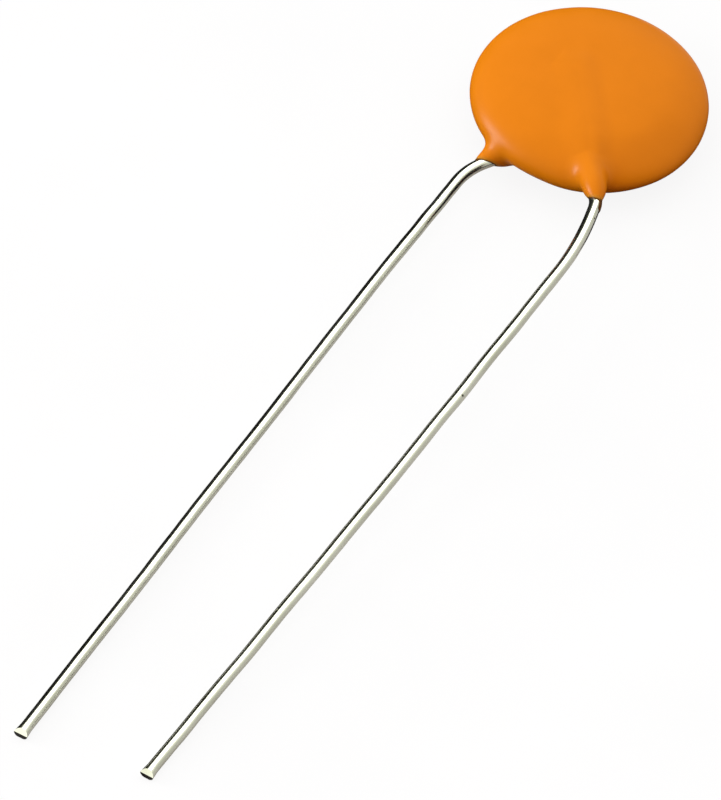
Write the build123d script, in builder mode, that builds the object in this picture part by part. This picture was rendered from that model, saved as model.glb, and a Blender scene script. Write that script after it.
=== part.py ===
from build123d import *
from math import atan2, cos, degrees, radians, sin, tan
import os

os.makedirs("parts", exist_ok=True)

# Ceramic disc capacitor, lying as it comes to rest: the disc on the crown of its lower face,
# the legs along -Y with their tips on the surface at z = 0. The origin is the middle of the
# footprint. All sizes are millimetres, and all angles are degrees.

# Dipped coat: its wall is the resin over the solder at the middle of each face
coat_diameter = 8.5
coat_wall = 0.37
rim_radius = 0.65

# Resin neck round each lead, widening inwards into the ridge over its buried run, and the bare
# straight stretch between its mouth and the bend of the lead
neck_wall = 0.045
ridge_radius = 0.66
ridge_peak = 2.9
neck_blend_left = 0.5
neck_blend_right = 1.1
mouth_setback = 0.06

# Ceramic disc with a fired silver layer on each face
ceramic_diameter = 7.0
ceramic_thickness = 0.5
electrode_diameter = 6.2
electrode_thickness = 0.03

# Solder mounds: the film under the lead, the bare stub of the lead at the buried end, and the
# margin to the edge of the electrode at the other
solder_film = 0.03
solder_stub = 0.25
solder_margin = 0.30
solder_width = 1.25
solder_height = 0.60
solder_draft_angle = 30.0

# Tinned leads: spacing of the legs, and how far their middle lies to the right of the disc's
wire_diameter = 0.45
lead_spacing = 5.50
lead_offset = 0.66

# Left lead, on the rear face: the bearings are angles from -Y, the drops are below the rim
crossing_angle_left = 30.0
kink_drop_left = 0.75
kink_radius_left = 2.8
toe_in_drop_left = 6.60
toe_in_angle_left = 1.15
length_left = 32.70

# Right lead, on the front face: it flares out before it turns down
crossing_angle_right = 38.0
kink_drop_right = 0.40
kink_radius_right = 1.0
flare_angle_right = 14.0
flare_drop_right = 2.33
flare_radius_right = 12.0
settle_angle_right = 0.40
toe_in_drop_right = 15.75
toe_in_angle_right = 1.10
length_right = 31.75

# Both leads: how far the buried end reaches past the middle of the disc, and the gentle bend at
# which the legs toe in
buried_reach = 0.65
toe_in_radius = 90.0

# Sheared ends of the legs
pinch_length = 0.40
pinch_width = 0.53
pinch_height = 0.38
shear_angle = 52.0

# Sizes that follow from the ones above
coat_radius = coat_diameter / 2
wire_radius = wire_diameter / 2
neck_radius = wire_radius + neck_wall
electrode_height = ceramic_thickness / 2 + electrode_thickness
lead_height = electrode_height + solder_film + wire_radius
half_thickness = electrode_height + solder_height + coat_wall
solder_length = electrode_diameter / 2 - solder_margin + buried_reach - solder_stub

# The middle of the footprint lies halfway between the far rim and the end of the longer leg
disc_plane = Plane(origin=(0, max(length_left, length_right) / 2, half_thickness))

# Outward directions of the two faces
FRONT = Vector(0, 0, 1)
REAR = Vector(0, 0, -1)


def bearing(angle):
    """Direction in the plane of the disc, measured from -Y towards +X."""
    return Vector(sin(radians(angle)), -cos(radians(angle)))


def lead_points(kink, crossing, stretches, side):
    """Corners of a lead, from its buried end over the kink to its tip on the resting surface.

    stretches lists the bearing and the lower end of each stretch below the kink."""
    outwards = bearing(crossing)
    corners = [kink - outwards * (kink.dot(outwards) + buried_reach), kink]
    for angle, low in stretches:
        step = bearing(angle)
        corners.append(corners[-1] + step * ((low - corners[-1].Y) / step.Y))
    buried = side.Z * lead_height
    fall = buried + half_thickness - wire_radius
    tip = corners[-1]
    points = []
    for corner in corners:
        share = max(0.0, (kink.Y - corner.Y) / (kink.Y - tip.Y))
        points.append(disc_plane.from_local_coords((corner.X, corner.Y, buried - fall * share)))
    return points


def lead(points, bends):
    """Round wire swept along straight runs and tangent bends, with a pinched and sheared tip."""
    with BuildPart() as wire:
        with BuildLine() as path:
            FilletPolyline(*points, radius=bends)
        with BuildSketch(Plane(origin=path.line @ 0, z_dir=path.line % 0)):
            Circle(wire_radius)
        sweep(path=path.line)
        along = path.line % 1
        across = Vector(0, 0, 1).cross(along).normalized()
        pinch_start = Plane(origin=path.line @ 1, x_dir=across, z_dir=along)
        pinch_end = pinch_start.offset(pinch_length)
        with BuildSketch(pinch_start):
            Circle(wire_radius)
        with BuildSketch(pinch_end):
            Ellipse(pinch_width / 2, pinch_height / 2)
        loft()
        # The cutter leaves a blunt edge across the wire: one wedge is cut away above it, one below
        setback = pinch_height / tan(radians(shear_angle))
        with BuildSketch(Plane(origin=pinch_end.origin, x_dir=along, z_dir=across)):
            for height in (pinch_height, -pinch_height):
                with BuildLine():
                    Polyline((0, 0), (-setback, height), (setback, height), close=True)
                make_face()
        extrude(amount=pinch_width, both=True, mode=Mode.SUBTRACT)
    return wire.part


def electrode(side):
    """Fired silver layer on one face of the ceramic."""
    face = Plane(origin=disc_plane.origin, z_dir=side).offset(ceramic_thickness / 2)
    with BuildPart() as layer:
        with BuildSketch(face):
            Circle(electrode_diameter / 2)
        extrude(amount=electrode_thickness)
    return layer.part


def solder(points, side, wire):
    """Mound of solder on an electrode, along the buried run of its lead."""
    outwards = (points[1] - points[0]).normalized()
    middle = points[0] + outwards * (solder_stub + solder_length / 2)
    seat = Plane(origin=middle, x_dir=outwards, z_dir=side).offset(electrode_height - lead_height)
    with BuildPart() as mound:
        with BuildSketch(seat):
            SlotOverall(solder_length, solder_width)
        extrude(amount=solder_height, taper=solder_draft_angle)
        add(wire, mode=Mode.SUBTRACT)
    return mound.part


left_kink = Vector(lead_offset - lead_spacing / 2, -coat_radius - kink_drop_left)
left_stretches = [
    (0.0, -coat_radius - toe_in_drop_left),
    (toe_in_angle_left, -coat_radius - length_left + pinch_length),
]
left_points = lead_points(left_kink, -crossing_angle_left, left_stretches, REAR)

flare_width = (flare_drop_right - kink_drop_right) * tan(radians(flare_angle_right))
right_kink = Vector(lead_offset + lead_spacing / 2 - flare_width, -coat_radius - kink_drop_right)
right_stretches = [
    (flare_angle_right, -coat_radius - flare_drop_right),
    (-settle_angle_right, -coat_radius - toe_in_drop_right),
    (-toe_in_angle_right, -coat_radius - length_right + pinch_length),
]
right_points = lead_points(right_kink, crossing_angle_right, right_stretches, FRONT)

with BuildPart() as lead_left:
    add(lead(left_points, [kink_radius_left, toe_in_radius]))

with BuildPart() as lead_right:
    add(lead(right_points, [kink_radius_right, flare_radius_right, toe_in_radius]))

with BuildPart() as ceramic:
    with BuildSketch(disc_plane):
        Circle(ceramic_diameter / 2)
    extrude(amount=ceramic_thickness / 2, both=True)

with BuildPart() as electrode_front:
    add(electrode(FRONT))

with BuildPart() as electrode_rear:
    add(electrode(REAR))

with BuildPart() as solder_front:
    add(solder(right_points, FRONT, lead_right.part))

with BuildPart() as solder_rear:
    add(solder(left_points, REAR, lead_left.part))

# Section of the coat: a shallow crown on each face, tangent to a round rim
rim_centre = coat_radius - rim_radius
crown_radius = (rim_centre**2 + half_thickness**2 - rim_radius**2) / (2 * (half_thickness - rim_radius))
crown_angle = degrees(atan2(rim_centre, crown_radius - half_thickness))

# Cone of a neck, and the ball that is tangent to it at its wide end
cone_angle = degrees(atan2(ridge_radius - neck_radius, ridge_peak))
ball_radius = ridge_radius / cos(radians(cone_angle))
cone_end = (ridge_peak - ball_radius * sin(radians(cone_angle)), ball_radius * cos(radians(cone_angle)))

with BuildPart() as coating:
    with BuildSketch(Plane(origin=disc_plane.origin, x_dir=(1, 0, 0), z_dir=(0, -1, 0))):
        with BuildLine():
            crown = CenterArc((0, half_thickness - crown_radius), crown_radius, 90 - crown_angle, crown_angle)
            CenterArc((rim_centre, 0), rim_radius, crown_angle - 90, 180 - 2 * crown_angle)
            base = CenterArc((0, crown_radius - half_thickness), crown_radius, 270, crown_angle)
            Line(crown @ 1, base @ 0)
        make_face()
    revolve(axis=Axis(disc_plane.origin, disc_plane.z_dir))
    # Neck and ridge: a cone turned about the line of the buried run, widening from the mouth to the
    # ridge's peak, where a ball closes it inside the coat
    for points, bend, turn, blend in (
        (left_points, kink_radius_left, crossing_angle_left, neck_blend_left),
        (right_points, kink_radius_right, crossing_angle_right - flare_angle_right, neck_blend_right),
    ):
        inwards = (points[0] - points[1]).normalized()
        mouth = points[1] + inwards * (bend * tan(radians(turn / 2)) + mouth_setback)
        with BuildSketch(Plane(origin=mouth, x_dir=inwards, z_dir=(0, 0, 1))):
            with BuildLine():
                Polyline((ridge_peak + ball_radius, 0), (0, 0), (0, neck_radius), cone_end)
                CenterArc((ridge_peak, 0), ball_radius, 0, 90 + cone_angle)
            make_face()
        revolve(axis=Axis(mouth, inwards))
        fillet(edges(Select.NEW), radius=blend)
    for inside in (ceramic, electrode_front, electrode_rear, solder_front, solder_rear):
        add(inside.part, mode=Mode.SUBTRACT)
    for wire in (lead_left, lead_right):
        add(wire.part, mode=Mode.SUBTRACT)

PARTS = {
    "coating": coating,
    "ceramic": ceramic,
    "electrode_front": electrode_front,
    "electrode_rear": electrode_rear,
    "solder_front": solder_front,
    "solder_rear": solder_rear,
    "lead_left": lead_left,
    "lead_right": lead_right,
}
for name, piece in PARTS.items():
    piece.part.label = name
    export_step(piece.part, f"parts/{name}.step")
    print(name, round(piece.part.volume, 4), piece.part.is_valid, len(piece.part.solids()))
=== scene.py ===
from math import cos, radians, sin, tan

import bmesh
import bpy
import numpy as np
from mathutils import Matrix, Quaternion, Vector


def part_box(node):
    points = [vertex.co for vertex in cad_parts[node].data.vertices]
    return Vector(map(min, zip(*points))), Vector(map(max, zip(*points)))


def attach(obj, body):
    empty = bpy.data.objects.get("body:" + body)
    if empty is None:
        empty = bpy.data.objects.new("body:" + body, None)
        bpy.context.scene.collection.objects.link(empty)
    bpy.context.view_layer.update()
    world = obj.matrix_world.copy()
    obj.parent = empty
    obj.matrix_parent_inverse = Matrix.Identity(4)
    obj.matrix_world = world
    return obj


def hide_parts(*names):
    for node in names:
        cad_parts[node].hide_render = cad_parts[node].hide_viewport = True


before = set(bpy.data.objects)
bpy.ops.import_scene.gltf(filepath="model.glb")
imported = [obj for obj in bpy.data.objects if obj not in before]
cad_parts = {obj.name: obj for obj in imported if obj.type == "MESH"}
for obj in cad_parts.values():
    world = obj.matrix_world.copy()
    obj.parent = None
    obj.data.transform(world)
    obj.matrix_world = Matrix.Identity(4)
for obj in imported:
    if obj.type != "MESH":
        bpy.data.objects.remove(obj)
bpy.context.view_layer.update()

bpy.ops.object.select_all(action="DESELECT")

# Ceramic disc: pressed and fired, matt and slightly grainy. A silver paste is printed and fired on each
# face, and a mound of soft solder holds a lead on each. The coat hides them all, so they stay as the
# frame has them and only get their finish.
MM = 0.001

mottle = bpy.data.node_groups.new("mottle", "ShaderNodeTree")
for socket, kind in (
    ("Size", "NodeSocketFloat"), ("Contrast", "NodeSocketFloat"), ("Stretch", "NodeSocketVector"),
):
    mottle.interface.new_socket(socket, in_out="INPUT", socket_type=kind)
mottle.interface.new_socket("Mask", in_out="OUTPUT", socket_type="NodeSocketFloat")
asked = mottle.nodes.new("NodeGroupInput")
given = mottle.nodes.new("NodeGroupOutput")
place = mottle.nodes.new("ShaderNodeTexCoord")
stretched = mottle.nodes.new("ShaderNodeVectorMath")
stretched.operation = "MULTIPLY"
rate = mottle.nodes.new("ShaderNodeMath")
rate.operation = "DIVIDE"
rate.inputs[0].default_value = 1.0
noise = mottle.nodes.new("ShaderNodeTexNoise")
noise.inputs["Detail"].default_value = 3.0
noise.inputs["Roughness"].default_value = 0.55
centred = mottle.nodes.new("ShaderNodeMath")
centred.operation = "SUBTRACT"
centred.inputs[1].default_value = 0.5
spread = mottle.nodes.new("ShaderNodeMath")
spread.operation = "MULTIPLY_ADD"
spread.inputs[2].default_value = 0.5
mottle.links.new(place.outputs["Object"], stretched.inputs[0])
mottle.links.new(asked.outputs["Stretch"], stretched.inputs[1])
mottle.links.new(asked.outputs["Size"], rate.inputs[1])
mottle.links.new(stretched.outputs[0], noise.inputs["Vector"])
mottle.links.new(rate.outputs[0], noise.inputs["Scale"])
mottle.links.new(noise.outputs["Fac"], centred.inputs[0])
mottle.links.new(centred.outputs[0], spread.inputs[0])
mottle.links.new(asked.outputs["Contrast"], spread.inputs[1])
mottle.links.new(spread.outputs[0], given.inputs["Mask"])


def mottled(material, size, contrast=1.6, stretch=(1.0, 1.0, 1.0)):
    """Place the mottle in a material, with spots of that size in metres, and return its mask."""
    spots = material.node_tree.nodes.new("ShaderNodeGroup")
    spots.node_tree = mottle
    spots.inputs["Size"].default_value = size
    spots.inputs["Contrast"].default_value = contrast
    spots.inputs["Stretch"].default_value = stretch
    return spots.outputs["Mask"]


def between(material, mask, low, high):
    """A colour or a number that goes from low to high with the mask. Low may be a socket."""
    colours = not isinstance(high, float)
    mix = material.node_tree.nodes.new("ShaderNodeMix")
    mix.data_type = "RGBA" if colours else "FLOAT"
    first = 6 if colours else 2
    for socket, value in zip(mix.inputs[first:first + 2], (low, high)):
        if isinstance(value, bpy.types.NodeSocket):
            material.node_tree.links.new(value, socket)
        else:
            socket.default_value = (*value, 1.0) if colours else value
    material.node_tree.links.new(mask, mix.inputs[0])
    return mix.outputs[2 if colours else 0]


def finished(name, dark, light, rough, size, depth, metallic=0.0, stretch=(1.0, 1.0, 1.0)):
    """A finish whose colour, roughness and height wander together over spots of one size."""
    material = bpy.data.materials.new(name)
    material.use_nodes = True
    links = material.node_tree.links
    surface = material.node_tree.nodes["Principled BSDF"]
    surface.inputs["Metallic"].default_value = metallic
    mask = mottled(material, size, stretch=stretch)
    links.new(between(material, mask, dark, light), surface.inputs["Base Color"])
    links.new(between(material, mask, *rough), surface.inputs["Roughness"])
    relief = material.node_tree.nodes.new("ShaderNodeBump")
    relief.inputs["Distance"].default_value = depth
    links.new(mask, relief.inputs["Height"])
    links.new(relief.outputs["Normal"], surface.inputs["Normal"])
    return material


fired_ceramic = finished(
    "fired_ceramic", (0.42, 0.33, 0.24), (0.55, 0.46, 0.35), (0.62, 0.80), 0.12 * MM, 0.002 * MM
)
fired_silver = finished(
    "fired_silver", (0.62, 0.62, 0.60), (0.82, 0.82, 0.80), (0.38, 0.55), 0.08 * MM, 0.001 * MM, 1.0
)
soft_solder = finished(
    "soft_solder", (0.50, 0.51, 0.52), (0.72, 0.73, 0.74), (0.18, 0.36), 0.4 * MM, 0.008 * MM, 1.0
)
for node, finish in (
    ("ceramic", fired_ceramic), ("electrode_front", fired_silver), ("electrode_rear", fired_silver),
    ("solder_front", soft_solder), ("solder_rear", soft_solder),
):
    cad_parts[node].data.materials.clear()
    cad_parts[node].data.materials.append(finish)

# Leads: round steel-cored wire, hot-dipped in tin. One is soldered to the front face of the disc and
# one to the rear. They cross inside the coat, kink as they leave it, and run down to the surface that the
# part lies on, where the cutter has pinched and sheared their ends.
WIRE_RADIUS = 0.225 * MM
WIRE_SIDES = 32
WIRE_STEP = 0.15 * MM
HALF_THICKNESS = 1.25 * MM
LEAD_HEIGHT = 0.535 * MM
BURIED_REACH = 0.65 * MM
PINCH_LENGTH = 0.40 * MM
PINCH_WIDTH = 0.53 * MM
PINCH_HEIGHT = 0.38 * MM
SHEAR_ANGLE = radians(52.0)
BLUNT_ABOVE = 0.025 * MM
BLUNT_BELOW = 0.165 * MM
SWAY = 0.011 * MM
LEFT_BENDS = (2.8 * MM, 90.0 * MM)
RIGHT_BENDS = (1.0 * MM, 12.0 * MM, 90.0 * MM)
ceramic_low, ceramic_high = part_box("ceramic")
disc_centre = (ceramic_low + ceramic_high) / 2


def bearing(angle):
    """Direction in the plane of the disc, in degrees from -Y towards +X."""
    return Vector((sin(radians(angle)), -cos(radians(angle)), 0.0))


def lead_corners(kink, crossing, stretches, height):
    """Corners of a lead, from its buried end over the kink to its tip on the resting surface."""
    outwards = bearing(crossing)
    corners = [kink - outwards * (kink.dot(outwards) + BURIED_REACH), kink]
    for angle, low in stretches:
        step = bearing(angle)
        corners.append(corners[-1] + step * ((low - corners[-1].y) / step.y))
    fall = height + HALF_THICKNESS - WIRE_RADIUS
    for corner in corners:
        share = max(0.0, (kink.y - corner.y) / (kink.y - corners[-1].y))
        corner.z = height - fall * share
    return [disc_centre + corner for corner in corners]


def bend_of(before, corner, after, radius):
    """Start, pivot, axis and angle of the bend that rounds a corner of a lead."""
    into = (corner - before).normalized()
    out = (after - corner).normalized()
    turn = into.angle(out)
    axis = into.cross(out).normalized()
    start = corner - into * radius * tan(turn / 2)
    return start, start + axis.cross(into) * radius, axis, turn


def draw_straight(start, end, waves):
    """Draw the selected ring along a run. It sways a little, as wire straightened off a reel does."""
    run = end - start
    sideways = Vector((run.y, -run.x, 0.0)).normalized()
    count = max(1, round(run.length / WIRE_STEP))
    widest = SWAY * min(1.0, run.length / (8.0 * MM))
    offsets = [
        widest * sin(radians(180 * waves * i / count)) * sin(radians(180 * i / count)) for i in range(count + 1)
    ]
    for old, new in zip(offsets, offsets[1:]):
        step = run / count + sideways * (new - old)
        bpy.ops.mesh.extrude_region_move(TRANSFORM_OT_translate={"value": step})


def drawn_wire(name, corners, bends, waves):
    """A ring drawn along the runs of a lead and spun round its bends, then pinched and sheared."""
    along = (corners[1] - corners[0]).normalized()
    bpy.ops.mesh.primitive_circle_add(
        vertices=WIRE_SIDES, radius=WIRE_RADIUS, location=corners[0],
        rotation=along.to_track_quat("Z", "Y").to_euler(),
    )
    wire = bpy.context.object
    wire.name = name
    bpy.ops.object.transform_apply(location=True, rotation=True, scale=True)
    bpy.ops.object.mode_set(mode="EDIT")
    bpy.ops.mesh.select_all(action="SELECT")
    place = corners[0]
    for before, corner, after, radius in zip(corners, corners[1:], corners[2:], bends):
        start, pivot, axis, turn = bend_of(before, corner, after, radius)
        draw_straight(place, start, waves)
        # Spin turns the other way round its axis than a rotation does
        steps = max(3, round(radius * turn / WIRE_STEP))
        bpy.ops.mesh.spin(steps=steps, angle=-turn, center=pivot, axis=axis)
        place = pivot + Quaternion(axis, turn) @ (start - pivot)
    draw_straight(place, corners[-1], waves)

    # The cutter pinches the end flat, then shears it from above and below and leaves a blunt face
    along = (corners[-1] - corners[-2]).normalized()
    across = Vector((0.0, 0.0, 1.0)).cross(along).normalized()
    upright = along.cross(across)
    tip = corners[-1] + along * PINCH_LENGTH
    bpy.ops.mesh.extrude_region_move(TRANSFORM_OT_translate={"value": along * PINCH_LENGTH})
    bpy.ops.transform.resize(
        value=(PINCH_WIDTH / WIRE_RADIUS / 2, 1.0, PINCH_HEIGHT / WIRE_RADIUS / 2), center_override=tip
    )
    bpy.ops.mesh.edge_face_add()
    bpy.ops.mesh.select_all(action="DESELECT")
    shape = bmesh.from_edit_mesh(wire.data)
    for edge in shape.edges:
        if edge.is_boundary:
            edge.select = True
    bmesh.update_edit_mesh(wire.data)
    bpy.ops.mesh.edge_face_add()
    bpy.ops.mesh.select_all(action="SELECT")
    bpy.ops.mesh.normals_make_consistent(inside=False)
    for side, height in ((upright, BLUNT_ABOVE), (-upright, BLUNT_BELOW)):
        bpy.ops.mesh.select_all(action="SELECT")
        bpy.ops.mesh.bisect(
            plane_co=tip + side * height, plane_no=along * sin(SHEAR_ANGLE) + side * cos(SHEAR_ANGLE),
            clear_outer=True, threshold=0.0001 * MM,
        )
        bpy.ops.mesh.edge_face_add()
    bpy.ops.mesh.select_all(action="SELECT")
    bpy.ops.mesh.normals_make_consistent(inside=False)
    bpy.ops.object.mode_set(mode="OBJECT")
    return wire, tip, along, upright


left_corners = lead_corners(
    Vector((-2.09, -5.0, 0.0)) * MM, -30.0,
    ((0.0, -10.85 * MM), (1.15, -36.55 * MM)), -LEAD_HEIGHT,
)
right_corners = lead_corners(
    Vector((2.9288, -4.65, 0.0)) * MM, 38.0,
    ((14.0, -6.70 * MM), (-0.4, -20.0 * MM), (-1.1, -35.6 * MM)), LEAD_HEIGHT,
)

# Tin is bright with dull olive blotches drawn out along the wire, and a few burnt specks of flux
FLUX = (0.05, 0.045, 0.03)
FLUX_SPECKS = (
    (Vector((3.537, 1.282, 1.404)) * MM, 0.055 * MM), (Vector((3.291, 10.965, 1.887)) * MM, 0.035 * MM),
)
bright_tin = finished(
    "bright_tin", (0.62, 0.63, 0.50), (0.82, 0.83, 0.71), (0.12, 0.22), 0.8 * MM, 0.006 * MM, 1.0,
    (1.0, 0.4, 1.0),
)
tin_surface = bright_tin.node_tree.nodes["Principled BSDF"]
tin_place = bright_tin.node_tree.nodes.new("ShaderNodeTexCoord")
for speck, size in FLUX_SPECKS:
    away = bright_tin.node_tree.nodes.new("ShaderNodeVectorMath")
    away.operation = "DISTANCE"
    away.inputs[1].default_value = speck
    bright_tin.node_tree.links.new(tin_place.outputs["Object"], away.inputs[0])
    burnt = bright_tin.node_tree.nodes.new("ShaderNodeMapRange")
    burnt.inputs["From Min"].default_value = size * 1.3
    burnt.inputs["From Max"].default_value = size * 0.6
    bright_tin.node_tree.links.new(away.outputs["Value"], burnt.inputs["Value"])
    clean = tin_surface.inputs["Base Color"].links[0].from_socket
    bright_tin.node_tree.links.new(
        between(bright_tin, burnt.outputs["Result"], clean, FLUX), tin_surface.inputs["Base Color"]
    )
# The sheared end faces get a near-black finish. It is partly the dark cut core, and partly painted shade on the
# lower facet and blunt face, which face away from the light.
cut_steel_and_shade = finished(
    "cut_steel_and_shade", (0.008, 0.006, 0.005), (0.035, 0.028, 0.022), (0.55, 0.75), 0.08 * MM, 0.01 * MM, 0.5
)

ripple = bpy.data.textures.new("tin_ripple", "CLOUDS")
ripple.noise_scale = 0.9 * MM
ripple.noise_depth = 1
for node, corners, bends, waves in (
    ("lead_left", left_corners, LEFT_BENDS, 5), ("lead_right", right_corners, RIGHT_BENDS, 6),
):
    bpy.ops.object.select_all(action="DESELECT")
    wire, tip, along, upright = drawn_wire("tinned_" + node, corners, bends, waves)
    wire.data.materials.append(bright_tin)
    wire.data.materials.append(cut_steel_and_shade)
    # End faces that face forward and not upward get the near-black finish, which is partly painted shade.
    for face in wire.data.polygons:
        at_end = (face.center - tip).length < PINCH_LENGTH
        sheared = face.normal.dot(along) > 0.7 and face.normal.dot(upright) < 0.3
        face.material_index = 1 if at_end and sheared else 0
    uneven = wire.modifiers.new("ripple", "DISPLACE")
    uneven.texture = ripple
    uneven.texture_coords = "LOCAL"
    uneven.strength = 0.014 * MM
    bpy.ops.object.modifier_apply(modifier="ripple")
    bpy.ops.object.shade_smooth_by_angle(angle=radians(35))
    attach(wire, "root")
    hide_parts(node)

# Coat: epoxy resin from dips, thick over the disc. While it cured, with the leads hanging down, it crept
# along them into a ridge and a neck on each, with an oblique mouth and a thin film beyond it. A ball
# squashed to the disc and a cone along each lead are melted into one skin, which is then drawn out.
COAT_RADIUS = 4.25
CROWN = 1.16
VOXEL = 0.06 * MM
FILM = 0.024
THICK_OVER_WIRE = 0.16
PULLS = 8
LONGEST_PULL = 0.15
PROBE = 0.004
WIRE = WIRE_RADIUS / MM

# The scene's lens shows the disc a little small beside the legs, so the coat is drawn wider by that much
LENS_MATCH = 1.012


def in_disc(points):
    """Points in millimetres from the middle of the disc."""
    return np.array([(point - disc_centre) / MM for point in points])


def buried_line(corners, bend):
    """The line of a lead down to its first bend and round it, as points in the disc."""
    start, pivot, axis, turn = bend_of(*corners[:3], bend)
    count = max(6, round(bend * turn / (0.12 * MM)))
    rounded = [pivot + Quaternion(axis, turn * i / count) @ (start - pivot) for i in range(count + 1)]
    return in_disc([corners[0], *rounded, (rounded[-1] + corners[2]) / 2])


def along_lead(points, line):
    """For each point its gap to a lead, how far along it that is, and the direction away from it."""
    gap = np.full(len(points), 1e9)
    along = np.zeros(len(points))
    away = np.zeros((len(points), 3))
    run = 0.0
    for a, b in zip(line, line[1:]):
        length = np.linalg.norm(b - a)
        unit = (b - a) / length
        share = np.clip((points - a) @ unit, 0.0, length)
        foot = points - a - share[:, None] * unit
        distance = np.linalg.norm(foot, axis=1)
        near = distance < gap
        gap[near] = distance[near]
        along[near] = (run + share)[near]
        away[near] = (foot / np.maximum(distance, 1e-6)[:, None])[near]
        run += length
    return gap, along, away


# What the resin does on each lead: where its mouth is, the outer side of the neck, the direction in which
# the mouth reaches out, the swelling of the neck on its outer and inner side and how soon it is reached,
# where the ridge starts to sink and how fast, how far the film creeps, and the fillets on both sides
LEFT_NECK = {
    "line": buried_line(left_corners, LEFT_BENDS[0]), "mouth": (-1.685, -4.298, -0.535), "shift": 0.10,
    "side": (-0.696, 0.400, 0.596), "tilt": (-0.209, 0.120, 0.179), "swell": (0.41, 0.31), "soon": 0.50,
    "sink_at": 0.6, "sink": 0.16, "creep": 0.2, "fillets": (0.50, 0.12),
}
RIGHT_NECK = {
    "line": buried_line(right_corners, RIGHT_BENDS[0]), "mouth": (2.761, -4.435, 0.535), "shift": 0.13,
    "side": (0.771, 0.603, 0.205), "tilt": (0.046, 0.036, 0.170), "swell": (0.36, 0.27), "soon": 0.42,
    "sink_at": 0.5, "sink": 0.17, "creep": 0.40, "fillets": (0.40, 0.44),
}


def neck_field(points, neck):
    """How far each point lies outside the resin on a lead, and the size of its fillet there."""
    gap, along, away = along_lead(points, neck["line"])
    mouth = np.linalg.norm(neck["line"][0] - np.array(neck["mouth"])) + neck["shift"]
    lean = away @ np.array(neck["side"])
    inwards = mouth - along
    reach = inwards + away @ np.array(neck["tilt"])
    outer = 0.5 + 0.5 * lean
    swell = neck["swell"][1] + (neck["swell"][0] - neck["swell"][1]) * outer
    thick = WIRE - 0.02 + swell * (1 - np.exp(-np.maximum(reach, 0.0) / neck["soon"]))
    thick -= neck["sink"] * np.maximum(0.0, inwards - neck["sink_at"]) ** 2
    thick += 0.43 * np.minimum(reach, 0.0)
    skin = WIRE + FILM - 0.25 * np.maximum(0.0, -inwards - neck["creep"])
    skin -= 0.12 * (1 - np.clip(lean * 2 - 0.6, 0, 1))
    high, low = neck["fillets"]
    fillet = low + (high - low) * outer + 0.3 * np.clip(inwards - 0.6, 0.0, 2.0)
    return gap - np.maximum(thick, skin), fillet


def hump(values, middle, width):
    """A smooth hump, 1 at the middle and fading away over the width."""
    return np.exp(-(((values - middle) / width) ** 2))


def disc_field(points):
    """How far each point lies outside the dipped disc, which is a little flat between the necks."""
    radius = np.hypot(points[:, 0], points[:, 1]) + 1e-6
    angle = np.degrees(np.arctan2(points[:, 0], -points[:, 1]))
    flat = 0.021 * hump(angle, -1.0, 17.0) + 0.003 * hump(angle, 33.0, 15.0)
    flat -= 0.024 * hump(angle, 58.0, 34.0) + 0.010 * hump(angle % 360.0, 172.0, 30.0)
    reach = COAT_RADIUS * (LENS_MATCH - flat)
    lower = 0.26 * hump(angle, 64.0, 27.0) * (1 - hump(np.maximum(radius - 2.7, 0.0), 0.0, 1.1))
    crown = CROWN * (1.0 - lower)
    t = radius / reach
    value = t**3 + (points[:, 2] / crown) ** 2 - 1.0
    slope = np.sqrt((3 * t**2 / reach) ** 2 + (2 * points[:, 2] / crown**2) ** 2) + 1e-3
    return value / slope


def melted(a, b, fillet):
    """Two fields joined with a fillet of about that size."""
    share = np.clip(0.5 + 0.5 * (b - a) / fillet, 0.0, 1.0)
    return b * (1 - share) + a * share - fillet * share * (1 - share)


def resin_field(points):
    """How far each point lies outside the coat, in millimetres."""
    field = disc_field(points)
    for side, neck in ((-1.0, LEFT_NECK), (1.0, RIGHT_NECK)):
        near = (points[:, 0] * side > -1.5) & (points[:, 1] < 1.5)
        resin, fillet = neck_field(points[near], neck)
        field[near] = melted(field[near], resin, fillet)
    return field


bpy.ops.object.select_all(action="DESELECT")
bpy.ops.mesh.primitive_uv_sphere_add(segments=96, ring_count=48, radius=MM, location=disc_centre)
coat = bpy.context.object
coat.name = "dipped_coat"
bpy.ops.transform.resize(value=(COAT_RADIUS, COAT_RADIUS, CROWN))
blanks = []
for corners, past in ((left_corners, 0.0), (right_corners, 0.5 * MM)):
    inwards = (corners[0] - corners[1]).normalized()
    bpy.ops.mesh.primitive_cone_add(
        vertices=48, radius1=0.3 * MM, radius2=0.5 * MM, depth=4.0 * MM + past,
        location=corners[1] + inwards * (2.0 * MM - past / 2),
        rotation=inwards.to_track_quat("Z", "Y").to_euler(),
    )
    blanks.append(bpy.context.object)
for blank in (coat, *blanks):
    blank.select_set(True)
bpy.context.view_layer.objects.active = coat
bpy.ops.object.join()
bpy.ops.object.transform_apply(location=True, rotation=True, scale=True)
melt = coat.modifiers.new("melt", "REMESH")
melt.mode = "VOXEL"
melt.voxel_size = VOXEL
bpy.ops.object.modifier_apply(modifier="melt")

skin = np.empty(len(coat.data.vertices) * 3)
coat.data.vertices.foreach_get("co", skin)
skin = (skin.reshape(-1, 3) - np.array(disc_centre)) / MM
for turn in range(PULLS):
    outside = resin_field(skin)
    slope = np.stack([(resin_field(skin + PROBE * axis) - outside) / PROBE for axis in np.eye(3)], axis=1)
    move = outside[:, None] * slope / np.maximum((slope**2).sum(axis=1), 0.3)[:, None]
    length = np.linalg.norm(move, axis=1, keepdims=True)
    skin -= move * np.minimum(1.0, LONGEST_PULL / np.maximum(length, 1e-9))
coat.data.vertices.foreach_set("co", (skin * MM + np.array(disc_centre)).ravel())

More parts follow.
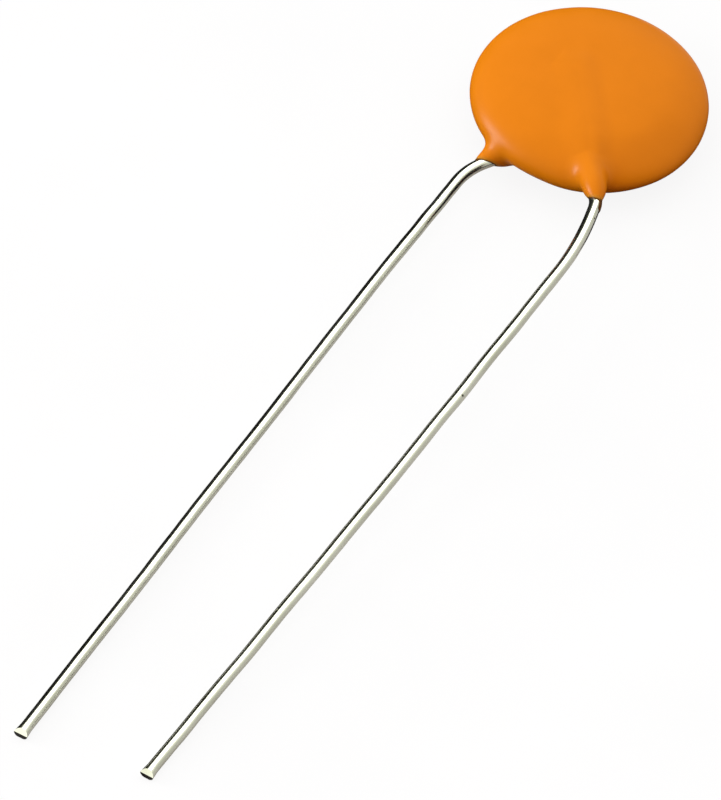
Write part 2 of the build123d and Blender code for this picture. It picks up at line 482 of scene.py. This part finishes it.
# The resin over the wire is thin at the mouths: the attribute goes from 0 there to 1 where it is thick
gaps = np.minimum(along_lead(skin, LEFT_NECK["line"])[0], along_lead(skin, RIGHT_NECK["line"])[0])
film = coat.data.attributes.new("film", "FLOAT", "POINT")
film.data.foreach_set("value", np.clip((gaps - WIRE) / THICK_OVER_WIRE, 0.0, 1.0))
coat.data.update()

sag = bpy.data.textures.new("resin_sag", "CLOUDS")
sag.noise_scale = 1.5 * MM
sag.noise_depth = 0
uneven = coat.modifiers.new("sag", "DISPLACE")
uneven.texture = sag
uneven.texture_coords = "LOCAL"
uneven.strength = 0.02 * MM
bpy.ops.object.modifier_apply(modifier="sag")

# Orange and nearly matt. Where it is thin the wire shows through it, yellow and then dark brown. The dark brown
# is partly painted shade, for the shadowed underside of the film at the mouths.
FILM_BROWN_AND_SHADE = (0.13, 0.050, 0.008)
THIN_YELLOW = (0.60, 0.25, 0.020)
dipped_resin = finished(
    "dipped_resin", (0.75, 0.212, 0.0030), (0.79, 0.226, 0.0040), (0.30, 0.38), 1.2 * MM, 0.006 * MM
)
resin_surface = dipped_resin.node_tree.nodes["Principled BSDF"]
resin_surface.inputs["Specular IOR Level"].default_value = 0.07
thickness = dipped_resin.node_tree.nodes.new("ShaderNodeAttribute")
thickness.attribute_name = "film"
for colour, thin, thick in ((THIN_YELLOW, 0.25, 0.70), (FILM_BROWN_AND_SHADE, 0.16, 0.32)):
    shown = dipped_resin.node_tree.nodes.new("ShaderNodeMapRange")
    shown.inputs["From Min"].default_value = thick
    shown.inputs["From Max"].default_value = thin
    dipped_resin.node_tree.links.new(thickness.outputs["Fac"], shown.inputs["Value"])
    covered = resin_surface.inputs["Base Color"].links[0].from_socket
    dipped_resin.node_tree.links.new(
        between(dipped_resin, shown.outputs["Result"], covered, colour), resin_surface.inputs["Base Color"]
    )
coat.data.materials.clear()
coat.data.materials.append(dipped_resin)
bpy.ops.object.shade_smooth()
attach(coat, "root")
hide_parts("coating")

# Camera: a long lens at the photograph's angle, rolled so that the disc leans as it does there. It is aimed
# by where the middle of the disc falls in the picture, in pixels, and stands off far enough for that scale.
PHOTO_WIDTH, PHOTO_HEIGHT = 721, 800
DISC_X, DISC_Y = 589.07, 99.76
PIXELS_PER_METRE = 27938.0
AZIMUTH, ELEVATION, ROLL = radians(24.534), radians(47.74), radians(8.054)
back = Vector((sin(AZIMUTH) * cos(ELEVATION), -cos(AZIMUTH) * cos(ELEVATION), sin(ELEVATION)))
level = Vector((cos(AZIMUTH), sin(AZIMUTH), 0.0))
rise = back.cross(level)
right = level * cos(ROLL) + rise * sin(ROLL)
up = rise * cos(ROLL) - level * sin(ROLL)
aim = (
    disc_centre
    - right * ((DISC_X - PHOTO_WIDTH / 2) / PIXELS_PER_METRE)
    + up * ((DISC_Y - PHOTO_HEIGHT / 2) / PIXELS_PER_METRE)
)
lens = bpy.data.cameras.new("long_lens")
lens.lens = 1400.0
lens.sensor_width = 36.0
lens.clip_start = 0.1
lens.clip_end = 10.0
distance = lens.lens / lens.sensor_width * (PHOTO_HEIGHT / PIXELS_PER_METRE)
camera = bpy.data.objects.new("camera", lens)
bpy.context.scene.collection.objects.link(camera)
turned = Matrix((right, up, back)).transposed().to_4x4()
camera.matrix_world = Matrix.Translation(aim + back * distance) @ turned
bpy.context.scene.camera = camera
bpy.context.scene.view_settings.view_transform = "Standard"

# Floor: a broad pale sheet, clear from below. The part sees it greyer than the camera does, as with black
# flags laid round the set, and black cards left of each leg draw the dark line along its edge.
bpy.ops.object.select_all(action="DESELECT")
bpy.ops.mesh.primitive_plane_add(size=4.0, location=(0.0, 0.0, -0.01 * MM))
floor = bpy.context.object
floor.name = "floor"
pale_sheet = finished("pale_sheet", (0.09, 0.09, 0.09), (0.11, 0.11, 0.11), (0.8, 0.9), 10 * MM, 0.001 * MM)
sheet_surface = pale_sheet.node_tree.nodes["Principled BSDF"]
sheet_surface.inputs["Specular IOR Level"].default_value = 0.0
seen = pale_sheet.node_tree.nodes.new("ShaderNodeLightPath")
for ray, grey in (("Is Glossy Ray", 0.56), ("Is Diffuse Ray", 0.08)):
    pale = sheet_surface.inputs["Base Color"].links[0].from_socket
    pale_sheet.node_tree.links.new(
        between(pale_sheet, seen.outputs[ray], pale, (grey, grey, grey)), sheet_surface.inputs["Base Color"]
    )
pale_sheet.node_tree.links.new(
    between(pale_sheet, seen.outputs["Is Camera Ray"], (0.0, 0.0, 0.0), (0.89, 0.89, 0.89)),
    sheet_surface.inputs["Emission Color"],
)
sheet_surface.inputs["Emission Strength"].default_value = 1.0
clear = pale_sheet.node_tree.nodes.new("ShaderNodeBsdfTransparent")
faced = pale_sheet.node_tree.nodes.new("ShaderNodeNewGeometry")
one_way = pale_sheet.node_tree.nodes.new("ShaderNodeMixShader")
pale_sheet.node_tree.links.new(faced.outputs["Backfacing"], one_way.inputs[0])
pale_sheet.node_tree.links.new(sheet_surface.outputs[0], one_way.inputs[1])
pale_sheet.node_tree.links.new(clear.outputs[0], one_way.inputs[2])
pale_sheet.node_tree.links.new(
    one_way.outputs[0], pale_sheet.node_tree.nodes["Material Output"].inputs["Surface"]
)
floor.data.materials.append(pale_sheet)

black_card = finished(
    "black_card", (0.001, 0.001, 0.001), (0.002, 0.002, 0.002), (0.8, 0.9), 10 * MM, 0.001 * MM
)
black_card.node_tree.nodes["Principled BSDF"].inputs["Specular IOR Level"].default_value = 0.0
for name, turn, low, high in (
    ("card_left", 0.0, (-500.0, -60.0, 0.0), (-2.0, 400.0, 0.0)),
    ("card_middle", 0.0, (0.6, -60.0, 0.0), (3.15, 14.5, 0.0)),
    ("card_right", 0.0, (3.15, 11.5, 0.0), (6.0, 21.0, 0.0)),
    ("card_under", 90.0, (-0.4, 11.9, 0.0), (2.85, 11.9, 2.4)),
):
    bpy.ops.object.select_all(action="DESELECT")
    bpy.ops.mesh.primitive_plane_add(size=1.0, rotation=(radians(turn), 0.0, 0.0))
    card = bpy.context.object
    card.name = name
    bpy.ops.transform.resize(value=[max(b - a, 1.0) * MM for a, b in zip(low, high)])
    bpy.ops.transform.translate(value=[(b + a) / 2 * MM for a, b in zip(low, high)])
    bpy.ops.object.transform_apply(location=True, rotation=True, scale=True)
    card.data.materials.append(black_card)
    card.visible_camera = card.visible_diffuse = False
    card.visible_shadow = card.visible_transmission = False

# Light: an even white tent with a warm dark side at the lower right and two lamps low at the left, one of
# them for gloss only. The bright metal alone sees a soft box behind it, left of straight up, by a black flag.
softbox = bpy.data.lights.new("softbox", "AREA")
softbox.shape = "RECTANGLE"
softbox.size, softbox.size_y = 0.28, 0.34
softbox.energy = 0.75
lamp = bpy.data.objects.new("softbox", softbox)
bpy.context.scene.collection.objects.link(lamp)
lamp_from = Vector((-0.076, 0.612, 0.787))
lamp.location = disc_centre + lamp_from * 0.32
lamp.rotation_euler = lamp_from.to_track_quat("Z", "Y").to_euler()
lamp.visible_camera = lamp.visible_diffuse = False
metal = bpy.data.collections.new("bright_metal")
for wire in ("tinned_lead_left", "tinned_lead_right"):
    metal.objects.link(bpy.data.objects[wire])
lamp.light_linking.receiver_collection = metal

for name, energy, diffuse in (("kicker", 0.085, True), ("spark", 0.28, False)):
    kicker = bpy.data.lights.new(name, "AREA")
    kicker.shape = "DISK"
    kicker.size = 0.07
    kicker.energy = energy
    low_lamp = bpy.data.objects.new(name, kicker)
    bpy.context.scene.collection.objects.link(low_lamp)
    low_from = Vector((-0.80, -0.50, 0.30)).normalized()
    low_lamp.location = disc_centre + low_from * 0.15
    low_lamp.rotation_euler = low_from.to_track_quat("Z", "Y").to_euler()
    low_lamp.visible_camera = False
    low_lamp.visible_diffuse = diffuse

tent = bpy.data.worlds.new("tent")
bpy.context.scene.world = tent
tent.use_nodes = True
tent_links = tent.node_tree.links
lit_tent = tent.node_tree.nodes["Background"]
mirrored_tent = tent.node_tree.nodes.new("ShaderNodeBackground")
mirrored_tent.inputs["Color"].default_value = (1.0, 1.0, 0.95, 1.0)
look = tent.node_tree.nodes.new("ShaderNodeTexCoord")
facing = tent.node_tree.nodes.new("ShaderNodeSeparateXYZ")
tent_links.new(look.outputs["Generated"], facing.inputs[0])


def fading(share, start, end, low=0.0, high=1.0):
    """A number that goes softly from low to high as a share of the direction goes from start to end."""
    fade = tent.node_tree.nodes.new("ShaderNodeMapRange")
    fade.interpolation_type = "SMOOTHSTEP"
    for socket, value in (("From Min", start), ("From Max", end), ("To Min", low), ("To Max", high)):
        fade.inputs[socket].default_value = value
    tent_links.new(share, fade.inputs["Value"])
    return fade.outputs["Result"]


def product(*factors):
    """The factors multiplied together."""
    result = factors[0]
    for factor in factors[1:]:
        times = tent.node_tree.nodes.new("ShaderNodeMath")
        times.operation = "MULTIPLY"
        tent_links.new(result, times.inputs[0])
        tent_links.new(factor, times.inputs[1])
        result = times.outputs[0]
    return result


x, y, z = facing.outputs
towards = tent.node_tree.nodes.new("ShaderNodeVectorMath")
towards.operation = "DOT_PRODUCT"
towards.inputs[1].default_value = Vector((0.74, -0.56, 0.40)).normalized()
tent_links.new(look.outputs["Generated"], towards.inputs[0])
warm_side = fading(towards.outputs["Value"], 0.55, 0.92)
tent_links.new(between(tent, warm_side, (1.0, 1.0, 1.0), (0.20, 0.03, 0.01)), lit_tent.inputs["Color"])
tent_links.new(product(fading(x, -1.0, 1.0, 1.10, 1.24), fading(z, 0.0, 0.15)), lit_tent.inputs["Strength"])
flag = product(fading(x, -0.26, -0.40), fading(z, 0.70, 0.60), fading(y, 0.1, 0.3))
mirrored = product(fading(z, 0.30, 0.90, 0.62, 1.25), fading(y, -0.60, -0.80, 1.0, 2.2))
tent_links.new(between(tent, flag, mirrored, 0.0), mirrored_tent.inputs["Strength"])
ray = tent.node_tree.nodes.new("ShaderNodeLightPath")
either = tent.node_tree.nodes.new("ShaderNodeMixShader")
tent_links.new(ray.outputs["Is Glossy Ray"], either.inputs[0])
tent_links.new(lit_tent.outputs[0], either.inputs[1])
tent_links.new(mirrored_tent.outputs[0], either.inputs[2])
backdrop = tent.node_tree.nodes.new("ShaderNodeBackground")
backdrop.inputs["Color"].default_value = (0.89, 0.89, 0.89, 1.0)
tent_seen = tent.node_tree.nodes.new("ShaderNodeMixShader")
tent_links.new(ray.outputs["Is Camera Ray"], tent_seen.inputs[0])
tent_links.new(either.outputs[0], tent_seen.inputs[1])
tent_links.new(backdrop.outputs[0], tent_seen.inputs[2])
tent_links.new(tent_seen.outputs[0], tent.node_tree.nodes["World Output"].inputs["Surface"])
